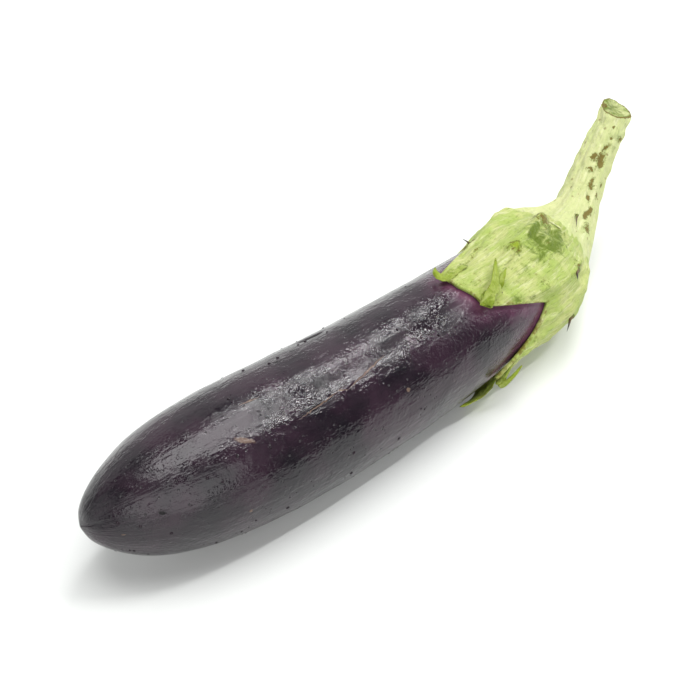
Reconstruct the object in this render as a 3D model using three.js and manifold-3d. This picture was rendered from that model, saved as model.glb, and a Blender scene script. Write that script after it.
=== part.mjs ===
// A slim eggplant as picked: a glossy dark fruit lying on its side, its green cap (calyx) and its cut stem.
// Millimetres, +Z up. +X runs from the blossom end to the stem. The fruit rests on a small flat spot at z = 0.
// The cap and the stem grow round one curved centre line, the spine, so every piece is placed along it.
import * as THREE from "three";
import { mergeVertices } from "three/addons/utils/BufferGeometryUtils.js";
import Module from "manifold-3d";

// ---- driving dimensions, mm and radians ----
// Spine: a gentle sideways bend along the fruit, then a tighter bend up and back into the stem.
const BEND_RADIUS = 710;
const BEND_MIDDLE = 107.5;
const LIE_SLOPE = -0.022;
const CENTRE_HEIGHT = 27.45;
const CONTACT_AT = 110;
const NECK_START = 225;
const NECK_END = 274;
const NECK_TURN = 0.205;
const NECK_PITCH = 0.48;
const SPINE_STEP = 0.5;

// Fruit: widest a third of the way along, blunt nose, slow taper, round shoulder under the cap.
const FRUIT_LENGTH = 250;
const FRUIT_RADIUS = 28.3;
const NOSE_LENGTH = 80;
const SHOULDER_AT = 203;
const SHOULDER_RADIUS = 23.6;

// Cap: a fleshy shell round the shoulder, with six lobes that end in points.
const CAP_GAP = 0.35;
const CAP_EDGE = 1.3;
const CAP_FLESH = 2.4;
const CAP_PRESSED = 0.6;
const CAP_FACET = 0.55;
const FLESH_START = 188;
const FLESH_RAMP = 30;
const RIB_AT = 228;
const RIB_SPREAD = 15;
const CAP_TOP = FRUIT_LENGTH + CAP_GAP + CAP_EDGE + CAP_FLESH;

// Stem: round, ribbed, with a flared foot and a slanting cut whose face looks up and forward.
const FOOT_STATIONS = [249.8, 249, 247.8];
const STEM_START = 256;
const STEM_END = 316.5;
const STEM_RADIUS = 6.9;
const STEM_FLARE = 5;
const STEM_FLARE_LENGTH = 30;
const STEM_RIBS = 5;
const CUT_SLANT = 5.5;
const CUT_FACES = 1.9;

const PRICKLE_LENGTH = 6.5;
const PRICKLE_RADIUS = 0.75;
const PRICKLE_GAP = 0.35;

// Each lobe: where its tip points round the spine (degrees, 0 = back, 90 = top, 180 = front), how far
// along the spine its tip reaches, the notch after it (its angle and place along the spine), the
// height of its rib on the shoulder, how much its tip lifts, and how hollow its sides are.
const LOBES = [
  { at: 80, tip: 172, notchAt: 97, notch: 174, rib: 4.6, lift: 1.0, hollow: 1.0 },
  { at: 124, tip: 177, notchAt: 158, notch: 207, rib: 2.6, lift: 0.7, hollow: 1.0 },
  { at: 200, tip: 176, notchAt: 222, notch: 199, rib: 2.6, lift: 0.8, hollow: 1.45 },
  { at: 241, tip: 174, notchAt: 264, notch: 201, rib: 1.4, lift: 0.5, hollow: 1.3 },
  { at: 291, tip: 178, notchAt: 322, notch: 203, rib: 1.2, lift: 0.5, hollow: 1.2 },
  { at: 346, tip: 183, notchAt: 412, notch: 212, rib: 2.6, lift: 0.3, hollow: 2.6 },
];
// The ribs lean round the shoulder, because the stem comes off behind the fruit's middle.
const LEAN = 33;
const LEAN_AWAY_FROM = 10;

// Dried tips that curl off the lobes: points are [along the spine, degrees round it, height off the
// skin, half width, twist in degrees].
const TIP_THICKNESS = 1.1;
const TIPS = [
  [[184, 72, 2.2, 3.6, 0], [177, 76, 2.2, 3.0, 0], [172, 80, 2.6, 2.4, 10], [169.5, 84, 3.8, 1.6, 20]],
  [[184, 119, 1.6, 3.4, 0], [177, 123, 2.2, 3.0, 0], [176.5, 123, 4.6, 2.8, 0], [183, 117, 4.8, 2.0, 0],
    [193, 103, 4.4, 0.6, 0]],
  [[186, 198, 1.4, 3.4, 0], [180, 203, 2.2, 2.6, 30], [176, 206, 3.2, 1.8, 60], [180, 194, 6.0, 0.7, 80]],
  [[189, 238, 1.5, 4.6, 0], [178, 228, 2.3, 4.2, 5], [167, 220, 2.8, 2.8, 10], [160, 216, 1.4, 0.8, 10]],
];

// Prickles: along the spine, degrees round it, lean towards the nose, size.
const PRICKLES = [
  { s: 227, at: 164, lean: 0.9, size: 1.25 },
  { s: 215, at: 193, lean: 1.6, size: 1.0 },
  { s: 201, at: 62, lean: 0.6, size: 0.8 },
  { s: 187, at: 128, lean: 0.3, size: 0.55 },
  { s: 214, at: 296, lean: 0.8, size: 0.9 },
];

const ALONG = 34;
const AROUND = 40;
const CAP_ROWS = 16;
const CAP_COLUMNS = 84;
const STEM_ROWS = 16;
const STEM_COLUMNS = 30;
const RIBBON_STEPS = 14;
const RIBBON_SIDES = 8;

const PURPLE = new THREE.MeshStandardMaterial({ color: "#2b1a27", roughness: 0.18, metalness: 0 });
const LEAF = new THREE.MeshStandardMaterial({ color: "#c3cf8d", roughness: 0.55, metalness: 0 });
const WOOD = new THREE.MeshStandardMaterial({ color: "#bccb74", roughness: 0.6, metalness: 0 });
const HORN = new THREE.MeshStandardMaterial({ color: "#4a3526", roughness: 0.5, metalness: 0 });

const wasm = await Module();
wasm.setup();

const radians = THREE.MathUtils.degToRad;
const smooth = (x) => THREE.MathUtils.smoothstep(x, 0, 1);

// ---- spine ----
function headingAndPitch(s) {
  const neck = smooth((s - NECK_START) / (NECK_END - NECK_START));
  return [
    (s - BEND_MIDDLE) / BEND_RADIUS + NECK_TURN * neck,
    LIE_SLOPE + (NECK_PITCH - LIE_SLOPE) * neck,
  ];
}

function tangent(s) {
  const [heading, pitch] = headingAndPitch(s);
  return new THREE.Vector3(
    Math.cos(heading) * Math.cos(pitch),
    Math.sin(heading) * Math.cos(pitch),
    Math.sin(pitch),
  );
}

const spine = [new THREE.Vector3(0, 0, CENTRE_HEIGHT - LIE_SLOPE * CONTACT_AT)];
for (let s = SPINE_STEP; s <= STEM_END + 10; s += SPINE_STEP) {
  spine.push(spine.at(-1).clone().addScaledVector(tangent(s - SPINE_STEP / 2), SPINE_STEP));
}

function centre(s) {
  const place = s / SPINE_STEP;
  const i = Math.min(Math.max(Math.floor(place), 0), spine.length - 2);
  return spine[i].clone().lerp(spine[i + 1], place - i);
}

// The point at a distance from the spine, at an angle round it (0 = back, a quarter turn = top).
function around(s, angle, distance) {
  const [heading] = headingAndPitch(s);
  const side = new THREE.Vector3(-Math.sin(heading), Math.cos(heading), 0);
  const up = tangent(s).cross(side);
  return centre(s)
    .addScaledVector(side, distance * Math.cos(angle))
    .addScaledVector(up, distance * Math.sin(angle));
}

// ---- fruit ----
function fruitRadius(s) {
  const nose = (1 - (1 - Math.min(s / NOSE_LENGTH, 1)) ** 2.8) ** 0.66;
  const along = Math.max((s - NOSE_LENGTH) / (SHOULDER_AT - NOSE_LENGTH), 0);
  const taper = (FRUIT_RADIUS - SHOULDER_RADIUS) * Math.min(along, 1.6) ** 1.8;
  const over = Math.min(Math.max((s - SHOULDER_AT) / (FRUIT_LENGTH - SHOULDER_AT), 0), 1);
  return (FRUIT_RADIUS - taper) * nose * Math.sqrt(1 - over ** 2.4);
}

// The point at a height off the fruit's skin, measured square to the skin.
function skin(s, angle, height) {
  const slope = (fruitRadius(s + 0.01) - fruitRadius(s - 0.01)) / 0.02;
  const steep = Math.hypot(slope, 1);
  return around(s - (slope / steep) * height, angle, fruitRadius(s) + height / steep);
}

// A closed skin from rings of points, each end closed on a pole.
function ringsToGeometry(start, rings, end) {
  const points = [start, ...rings.flat(), end];
  const n = rings[0].length;
  const at = (row, column) => 1 + row * n + (column % n);
  const faces = [];
  for (let j = 0; j < n; j += 1) {
    faces.push(0, at(0, j), at(0, j + 1));
    faces.push(points.length - 1, at(rings.length - 1, j + 1), at(rings.length - 1, j));
  }
  for (let i = 0; i + 1 < rings.length; i += 1) {
    for (let j = 0; j < n; j += 1) {
      faces.push(at(i, j), at(i + 1, j), at(i + 1, j + 1));
      faces.push(at(i, j), at(i + 1, j + 1), at(i, j + 1));
    }
  }
  const geometry = new THREE.BufferGeometry().setFromPoints(points);
  geometry.setIndex(faces);
  return geometry;
}

function toManifold(geometry) {
  const merged = mergeVertices(geometry, 1e-4);
  const solid = new wasm.Manifold(
    new wasm.Mesh({
      numProp: 3,
      vertProperties: merged.attributes.position.array,
      triVerts: new Uint32Array(merged.index.array),
    }),
  );
  if (solid.volume() >= 0) return solid;
  const turned = new Uint32Array(merged.index.array).reverse();
  return new wasm.Manifold(
    new wasm.Mesh({ numProp: 3, vertProperties: merged.attributes.position.array, triVerts: turned }),
  );
}

function toGeometry(solid) {
  const { numProp, vertProperties, triVerts } = solid.getMesh();
  const geometry = new THREE.BufferGeometry();
  const positions = new Float32Array((vertProperties.length / numProp) * 3);
  for (let i = 0; i < positions.length / 3; i += 1) {
    positions.set(vertProperties.subarray(i * numProp, i * numProp + 3), i * 3);
  }
  geometry.setAttribute("position", new THREE.BufferAttribute(positions, 3));
  geometry.setIndex(new THREE.BufferAttribute(triVerts, 1));
  return geometry;
}

// Everything below the resting plane is taken off, which leaves the flat spot.
function restOnFloor(solid) {
  const box = new THREE.BoxGeometry(800, 400, 100).translate(100, 0, -50);
  box.deleteAttribute("normal");
  box.deleteAttribute("uv");
  return solid.subtract(toManifold(box));
}

function ringOf(count, pointAt) {
  return Array.from({ length: count }, (_, j) => pointAt((2 * Math.PI * j) / count));
}

// The fruit's whole surface, or the same surface grown by a height all over.
function fruitSurface(height) {
  const rings = [];
  for (let i = 1; i < ALONG; i += 1) {
    const s = (FRUIT_LENGTH * (1 - Math.cos((Math.PI * i) / ALONG))) / 2;
    rings.push(ringOf(AROUND, (angle) => skin(s, angle, height)));
  }
  return toManifold(ringsToGeometry(centre(-height), rings, centre(FRUIT_LENGTH + height)));
}

// ---- cap ----
// The lobe that an angle belongs to, and how far aside the angle is, from 0 at the tip to 1 at a notch.
function lobeAt(degrees) {
  const first = LOBES.at(-1).notchAt - 360;
  const angle = first + THREE.MathUtils.euclideanModulo(degrees - first, 360);
  const i = LOBES.findIndex(({ notchAt }) => angle <= notchAt);
  const lobe = LOBES[i];
  if (angle >= lobe.at) {
    return { lobe, aside: (angle - lobe.at) / (lobe.notchAt - lobe.at), notch: lobe.notch };
  }
  const before = i === 0 ? { notchAt: first, notch: LOBES.at(-1).notch } : LOBES[i - 1];
  return { lobe, aside: (lobe.at - angle) / (lobe.at - before.notchAt), notch: before.notch };
}

// How far along the spine the cap's edge lies at an angle.
function edgeAt(degrees) {
  const { lobe, aside, notch } = lobeAt(degrees);
  return notch + (lobe.tip - notch) * (1 - aside) ** lobe.hollow;
}

function reachAt(s, degrees) {
  return (FRUIT_LENGTH - s) / (FRUIT_LENGTH - edgeAt(degrees));
}

// The real angle of a rib or notch line, which starts leaning before it reaches the shoulder.
function leaning(s, degrees) {
  const lean = Math.min((1 - reachAt(s, degrees)) / 0.68, 1);
  return radians(degrees - lean * LEAN * Math.sin(radians(degrees - LEAN_AWAY_FROM)));
}

// Heights of the cap's inner and outer faces off the skin: the lobes lift a little at their tips, and
// the flesh is thin at the edge and thick over the shoulder, with a rib down each lobe. It is pressed
// thinner underneath, where it lies on the table.
function capHeights(s, degrees) {
  const { lobe, aside } = lobeAt(degrees);
  const reach = reachAt(s, degrees);
  const inner = CAP_GAP + lobe.lift * (1 - aside) * smooth((reach - 0.8) / 0.2);
  const shoulder = Math.exp(-(((s - RIB_AT) / RIB_SPREAD) ** 2));
  const rib = lobe.rib * Math.exp(-((aside / CAP_FACET) ** 2)) * shoulder;
  const pressed = 1 - CAP_PRESSED * Math.max(-Math.sin(radians(degrees)), 0) ** 2;
  const body = CAP_FLESH * pressed * smooth((s - FLESH_START) / FLESH_RAMP);
  return [inner, inner + CAP_EDGE + (body + rib) * smooth((1 - reach) * 5)];
}

function makeCapShell() {
  const outer = [];
  const inner = [];
  for (let i = 1; i <= CAP_ROWS; i += 1) {
    const outerRing = [];
    const innerRing = [];
    const reach = (i / CAP_ROWS) ** 2 * (2 - i / CAP_ROWS);
    for (let j = 0; j < CAP_COLUMNS; j += 1) {
      const degrees = (360 * j) / CAP_COLUMNS;
      const s = FRUIT_LENGTH - (FRUIT_LENGTH - edgeAt(degrees)) * reach;
      const [low, high] = capHeights(s, degrees);
      innerRing.push(skin(s, leaning(s, degrees), low));
      outerRing.push(skin(s, leaning(s, degrees), high));
    }
    outer.push(outerRing);
    inner.unshift(innerRing);
  }
  const inside = centre(FRUIT_LENGTH + CAP_GAP);
  return toManifold(ringsToGeometry(centre(CAP_TOP), [...outer, ...inner], inside));
}

// A tapering, twisting dry tip: a flat oval section carried along a curve.
function makeTip(stations) {
  const curve = new THREE.CatmullRomCurve3(
    stations.map(([s, at, height]) => skin(s, radians(at), CAP_GAP + height)),
  );
  const mix = (column, u) => {
    const place = u * (stations.length - 1);
    const i = Math.min(Math.floor(place), stations.length - 2);
    return THREE.MathUtils.lerp(stations[i][column], stations[i + 1][column], place - i);
  };
  const rings = [];
  for (let i = 0; i <= RIBBON_STEPS; i += 1) {
    const u = i / RIBBON_STEPS;
    const along = curve.getTangent(u);
    const s = mix(0, u);
    const out = around(s, radians(mix(1, u)), 1).sub(centre(s)).normalize();
    const across = along.clone().cross(out).normalize();
    across.applyAxisAngle(along, radians(mix(4, u)));
    const thick = across.clone().cross(along).normalize();
    const ring = [];
    for (let j = 0; j < RIBBON_SIDES; j += 1) {
      const turn = (2 * Math.PI * j) / RIBBON_SIDES;
      ring.push(
        curve
          .getPoint(u)
          .addScaledVector(across, mix(3, u) * Math.cos(turn))
          .addScaledVector(thick, (TIP_THICKNESS / 2) * Math.sin(turn)),
      );
    }
    rings.push(ring);
  }
  return toManifold(ringsToGeometry(curve.getPoint(0), rings, curve.getPoint(1)));
}

function makeCap() {
  const fruitSpace = fruitSurface(CAP_GAP);
  let cap = makeCapShell();
  for (const stations of TIPS) cap = cap.add(makeTip(stations).subtract(fruitSpace));
  return restOnFloor(cap);
}

// ---- stem ----
function stemRadius(s, angle) {
  const flare = STEM_FLARE * Math.max(1 - (s - STEM_START) / STEM_FLARE_LENGTH, 0) ** 2;
  const ribs = 0.35 * Math.cos(STEM_RIBS * angle + 0.03 * s);
  const knuckle = 0.4 * Math.exp(-(((s - STEM_END + 8) / 5) ** 2));
  return STEM_RADIUS + flare + ribs - knuckle;
}

// The foot's underside sits on the cap; above it, round sections follow the spine up to the cut.
function makeStem() {
  const rings = FOOT_STATIONS.map((s) => ringOf(STEM_COLUMNS, (angle) => {
    const degrees = THREE.MathUtils.radToDeg(angle);
    return skin(s, leaning(s, degrees), capHeights(s, degrees)[1] + CAP_GAP);
  }));
  for (let i = 0; i <= STEM_ROWS; i += 1) {
    const part = i / STEM_ROWS;
    const s = STEM_START + (STEM_END - STEM_START) * part;
    rings.push(ringOf(STEM_COLUMNS, (angle) => {
      const turned = leaning(FRUIT_LENGTH, THREE.MathUtils.radToDeg(angle));
      const cut = CUT_SLANT * part ** 4 * Math.cos(turned - CUT_FACES);
      return around(s - cut, turned, stemRadius(s, angle));
    }));
  }
  return toManifold(ringsToGeometry(centre(CAP_TOP + CAP_GAP), rings, centre(STEM_END)));
}

// ---- prickles ----
function makePrickle({ s, at, lean, size }) {
  const height = capHeights(s, at)[1] + PRICKLE_GAP + PRICKLE_RADIUS * size * lean;
  const root = skin(s, leaning(s, at), height);
  const out = around(s, leaning(s, at), 1).sub(centre(s)).normalize();
  const aim = out.addScaledVector(tangent(s), -lean).normalize();
  const cone = new THREE.ConeGeometry(PRICKLE_RADIUS * size, PRICKLE_LENGTH * size, 8, 3);
  cone.deleteAttribute("normal");
  cone.deleteAttribute("uv");
  cone.translate(0, (PRICKLE_LENGTH * size) / 2, 0);
  cone.applyQuaternion(new THREE.Quaternion().setFromUnitVectors(new THREE.Vector3(0, 1, 0), aim));
  cone.translate(root.x, root.y, root.z);
  return toManifold(cone);
}

// ---- assembly: the origin moves to the bottom centre of the whole eggplant's box ----
const eggplant = new THREE.Group();

function addPiece(name, solid, material) {
  const mesh = new THREE.Mesh(toGeometry(solid), material);
  mesh.name = name;
  eggplant.add(mesh);
}

addPiece("fruit", restOnFloor(fruitSurface(0)), PURPLE);
addPiece("calyx", makeCap(), LEAF);
addPiece("stem", makeStem(), WOOD);
PRICKLES.forEach((prickle, i) => addPiece(`prickle_${i + 1}`, makePrickle(prickle), HORN));

const box = new THREE.Box3().setFromObject(eggplant);
eggplant.position.set(-(box.min.x + box.max.x) / 2, -(box.min.y + box.max.y) / 2, 0);

export default eggplant;
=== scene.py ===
"""A slim eggplant lying on its side: wet dark skin, a pale green cap with dried tips, a stem and prickles.

Shapes are worked out in millimetres along the fruit's curved centre line, the spine, and moved into the
row frame in metres when a mesh is made.
"""

import math

import bpy
import numpy as np
from bpy.props import FloatProperty, FloatVectorProperty, IntProperty, PointerProperty
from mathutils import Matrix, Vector


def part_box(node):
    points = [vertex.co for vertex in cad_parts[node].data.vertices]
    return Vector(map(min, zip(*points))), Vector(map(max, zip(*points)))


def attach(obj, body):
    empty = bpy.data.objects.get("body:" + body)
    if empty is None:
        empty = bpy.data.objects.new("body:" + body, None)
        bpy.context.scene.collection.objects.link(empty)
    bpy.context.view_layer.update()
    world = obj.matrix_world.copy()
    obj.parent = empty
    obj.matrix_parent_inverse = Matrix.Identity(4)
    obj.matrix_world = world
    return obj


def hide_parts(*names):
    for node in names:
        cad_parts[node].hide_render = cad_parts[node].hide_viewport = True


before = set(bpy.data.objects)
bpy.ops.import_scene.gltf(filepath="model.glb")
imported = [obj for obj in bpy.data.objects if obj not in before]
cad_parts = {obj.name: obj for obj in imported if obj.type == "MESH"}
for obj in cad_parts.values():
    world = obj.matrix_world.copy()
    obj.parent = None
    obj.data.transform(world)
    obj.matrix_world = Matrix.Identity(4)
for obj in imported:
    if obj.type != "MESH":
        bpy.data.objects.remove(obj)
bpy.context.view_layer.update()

bl_info = {
    "name": "Eggplant",
    "version": (1, 0, 0),
    "blender": (4, 5, 0),
    "location": "3D View > Sidebar > Eggplant",
    "description": "Builds a slim eggplant with its cap, stem and prickles, and a plain stage",
    "category": "Add Mesh",
}

MM = 0.001

# ---- the spine and the plain shapes, in millimetres ----
BEND_RADIUS = 710.0
BEND_MIDDLE = 107.5
LIE_SLOPE = -0.022
CENTRE_HEIGHT = 27.45
CONTACT_AT = 110.0
NECK_START = 225.0
NECK_END = 274.0
NECK_TURN = 0.205
NECK_PITCH = 0.48
SPINE_STEP = 0.5
FRUIT_LENGTH = 250.0
NOSE_LENGTH = 80.0
NOSE_POWER = 2.8
NOSE_BLUNTNESS = 0.66
TAPER_POWER = 1.8
SHOULDER_POWER = 2.4
SHOULDER_AT = 203.0
CAP_GAP = 0.35
CAP_EDGE = 1.3
CAP_PRESSED = 0.6
FLESH_START = 188.0
FLESH_RAMP = 30.0
RIB_AT = 228.0
RIB_SPREAD = 15.0
STEM_START = 256.0
STEM_END = 316.5
STEM_FLARE = 5.0
STEM_FLARE_LENGTH = 30.0
CUT_SLANT = 7.0
CUT_FACES = 1.9
LEAN = 33.0
LEAN_AWAY_FROM = 10.0
CAD_RINGS = 34
CAD_SIDES = 40

# Lobes of the cap. Each row: where its tip points round the spine (degrees, 0 = back, 90 = top), how far
# along its tip reaches, the notch after it (degrees, along), rib height, tip lift, hollow of its sides.
LOBES = np.array([
    (80, 172, 97, 174, 4.6, 1.0, 1.0),
    (124, 177, 158, 207, 2.6, 0.7, 1.0),
    (200, 176, 222, 199, 2.6, 0.8, 1.45),
    (241, 174, 264, 201, 1.4, 0.5, 1.3),
    (291, 178, 322, 203, 1.2, 0.5, 1.2),
    (346, 183, 412, 212, 2.6, 0.3, 2.6),
], float)

# Dried tips: along the spine, degrees round it, height off the skin, half width, twist in degrees.
TIPS = {
    "top": [(186, 80, 0.7, 2.4, 0), (181, 82.5, 1.3, 2.3, 0), (176, 85, 1.9, 2.0, 8),
            (172.3, 86.5, 2.5, 1.6, 15), (170.6, 83, 3.3, 1.4, 20), (171.2, 77.5, 3.9, 1.1, 20),
            (173.4, 73.5, 4.2, 0.4, 20)],
    "folded": [(185, 118, 0.8, 2.6, 0), (180, 121.5, 1.6, 3.0, 0), (176.6, 124, 2.8, 2.8, 0),
               (176.8, 123.5, 4.2, 2.5, 0), (180.5, 119.8, 5.0, 2.4, -10), (186, 113.5, 5.2, 2.0, -22),
               (191, 105, 4.8, 1.2, -28), (195.5, 98, 4.0, 0.3, -30)],
    "ear": [(183, 122, 1.2, 1.6, 0), (187, 118.5, 2.6, 1.8, 20), (191, 114, 4.0, 1.4, 45),
            (195, 110.5, 4.2, 0.3, 60)],
    "curled": [(188, 197, 0.9, 2.6, 0), (182, 202, 1.6, 2.4, 30), (178, 205, 3.0, 1.9, 60),
               (176.4, 205, 4.4, 1.4, 90), (178.5, 200, 5.6, 1.0, 100), (182, 194, 5.8, 0.7, 100),
               (185, 191, 5.6, 0.3, 100)],
    "long": [(190, 240, 0.8, 4.4, 0), (181, 233, 1.7, 4.6, 0), (173, 226, 2.6, 3.8, 4),
             (167, 221, 2.3, 2.8, 8), (162.5, 217.5, 1.6, 1.6, 10), (159, 215, 0.9, 0.3, 10)],
    "low": [(186, 291, 0.8, 3.0, 0), (179, 290, 1.6, 2.6, 0), (172, 287, 2.0, 1.6, 10),
            (167, 285, 1.8, 0.3, 10)],
    "back": [(190, 345, 0.6, 3.0, 0), (183, 344, 1.5, 2.6, 0), (177, 341, 2.9, 1.8, 15),
             (172, 339, 3.6, 0.3, 25)],
}

# Prickles: name, the solid it stands for, along the spine, degrees round it, lean to the nose, size.
PRICKLES = (
    ("prickle_front", "prickle_1", 227.5, 163, 0.9, 1.4),
    ("prickle_side", "prickle_2", 219, 190, 1.6, 1.25),
    ("prickle_top", "prickle_3", 201, 62, 0.6, 0.8),
    ("prickle_edge", "prickle_4", 187, 128, 0.3, 0.55),
    ("prickle_back", "prickle_5", 214, 296, 0.8, 0.9),
)

# Marks on the skin: along, degrees round, half length, half width, turn in degrees.
SCRATCHES = (
    (94, 123.5, 13, 0.2, -6), (117, 119, 13, 0.26, -11), (71, 95.5, 5, 0.25, 3), (104, 122.5, 3, 0.2, 20),
)
CORKS = (
    (61, 121.5, 4.4, 1.1, 32), (129, 148.5, 1.1, 0.8, 0), (11.6, 168, 0.8, 0.6, 0), (55, 176.5, 0.8, 0.7, 0),
)
NICKS = (
    (113.5, 54.5, 6.5, 1.2, 6), (101, 65, 1.6, 0.5, 10), (92, 70, 1.2, 0.5, -10), (25, 150, 1.6, 0.9, 30),
)
# Millimetres of surface for one radian round the fruit and round the stem: the scale of maps and marks.
SKIN_ARC = 25.0
STEM_ARC = 7.5

# Uneven waves: seed, how many, the most turns round, and the shortest and longest in mm.
WAVES = {
    "skin_broad": (3, 10, 3, 45, 140), "skin_fine": (4, 14, 9, 14, 50), "cap_edge": (11, 9, 15, 9, 10),
    "cap_veins": (21, 16, 46, 20, 60), "cap_lumps": (22, 14, 12, 9, 30), "cap_crumple": (23, 24, 36, 4, 11),
    "stem_ribs": (41, 10, 13, 30, 80), "stem_grain": (42, 14, 8, 5, 14),
    "cut_grain": (43, 8, 6, 5, 14),
}
TIP_SEED = 31
TIP_WAVES = (8, 3, 5, 16)

# The cap's healed scar: along the spine, degrees round it.
SCAR = (207, 99)
# What is raised or painted on the cap. Spots: strength (mm for the relief), along, degrees round, half
# length, half width, turn. Lines: strength, half width, the places along and round that they run through.
CAP_PAINT = {
    "relief": (
        ((1.3, 231, 91, 4.5, 4.5), (1.4, 232, 58, 10, 7), (0.9, *SCAR, 2.8, 2.0, 25),
         (-1.35, *SCAR, 1.7, 1.2, 25)),
        ((1.9, 2.4, ((238, 86), (228, 90), (212, 96), (198, 103), (186, 119), (177, 125))),
         (1.5, 2.2, ((232, 150), (214, 150), (196, 137), (186, 128))),
         (1.2, 2.4, ((236, 172), (220, 182), (203, 186), (190, 194))),
         (-0.8, 0.8, ((203, 70), (192, 79), (182, 83), (174, 86))))),
    "green": (
        ((1.2, 224, 102, 11, 6, 30), (0.8, 221, 117, 11, 6), (0.3, 228, 142, 10, 8),
         (0.45, 200, 80, 10, 3, 60)),
        ((0.5, 2.5, ((182, 128), (192, 138), (203, 152))), (0.4, 2.0, ((222, 150), (205, 146), (190, 134))))),
    "fresh": (
        ((1.3, *SCAR, 2.2, 1.6, 25), (0.7, 172, 80, 7, 4), (0.5, 180, 122, 7, 5), (0.7, 172, 226, 14, 10)),),
    "brown": (
        ((1.8, *SCAR, 2.9, 2.1, 25), (-1.8, *SCAR, 1.9, 1.3, 25), (0.75, 230, 91, 6, 5),
         (0.8, 229, 152, 3, 3), (0.45, 207, 140, 3, 2), (0.4, 176, 206, 5, 5)),
        # painted shadow: this brown line lies along the crease where lobe A's edge folds up, where shade falls
        ((0.5, 0.8, ((200, 71), (192, 78), (182, 82), (174, 85))),
         (0.3, 1.4, ((176, 96), (181, 106), (178, 118))),
         (0.35, 1.6, ((198, 150), (200, 168), (196, 184))))),
}

# Corky flecks on the stem: along, degrees round, half length, half width, turn.
STEM_FLECKS = (
    (291, 118, 3.6, 2.2, 10), (287, 126, 2.4, 1.8, 0), (297, 122, 2.2, 1.1, 20), (278, 116, 2.6, 1.3, 10),
    (275, 122, 1.8, 1.0, 40), (270, 124, 2.2, 1.0, -30), (283, 95, 1.8, 1.4, 60), (289, 92, 2.4, 1.3, 10),
    (265, 142, 2.4, 1.1, 20), (262, 134, 1.6, 0.9, 0), (273, 150, 1.8, 1.1, 0), (279, 160, 1.6, 1.0, 10),
    (258, 150, 2.6, 1.6, 0), (302, 128, 1.3, 1.0, 0), (303, 168, 2.0, 1.2, 10), (309, 122, 1.2, 0.9, 0),
)

# ---- the stage, in metres and degrees ----
# Lamps: name, place, the place it shines at, width and depth, radiance.
LAMPS = (
    ("softbox", (0.0, 0.05, 1.6), (0.0, 0.05, 0), (1.3, 1.1), 4.7),
    ("bar_front", (0.98, -0.46, 1.55), (0.98, -0.46, 0), (0.9, 0.03), 150.0),
    ("bar_back", (0.98, 0.58, 1.55), (0.98, 0.58, 0), (0.9, 0.03), 135.0),
    ("back_wall", (0.4, 2.4, 1.2), (0.1, 0, 0.05), (4.5, 2.4), 0.7),
    ("right_wall", (1.9, -0.2, 0.7), (0, 0, 0.05), (1.6, 1.4), 2.0),
    ("front_wall", (-1.1, -1.9, 1.1), (-0.12, 0, 0), (3.0, 2.0), 2.1),
    ("left_wall", (-1.9, 0.4, 0.7), (0, 0, 0.05), (1.6, 1.4), 1.0),
)
WORLD_LIGHT = 0.12
FLOOR_HALF = 4.0
CAMERA_LENS = 93.1
CAMERA_AZIMUTH = -39.38
CAMERA_ELEVATION = 44.0
CAMERA_DISTANCE = 0.72
# The place the camera looks at, in millimetres in the spine's frame.
CAMERA_TARGET = (135.42, 10.68, 27.55)


def smooth(x):
    x = np.clip(x, 0.0, 1.0)
    return x * x * (3 - 2 * x)


def bell(x, width):
    """1 where x is 0, falling off softly to both sides."""
    return np.exp(-((x / width) ** 2))


def ripples(turn, along, seed, waves, around_most, shortest, longest):
    """Uneven waves over a surface that goes round, about -1 to 1: turn in radians, along in mm."""
    draw = np.random.default_rng(seed)
    total = 0.0
    for _ in range(waves):
        around = draw.integers(-around_most, around_most + 1)
        length = draw.uniform(shortest, longest)
        total = total + np.sin(around * turn + 2 * np.pi * along / length + draw.uniform(0, 2 * np.pi))
    return total / math.sqrt(waves)


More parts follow.
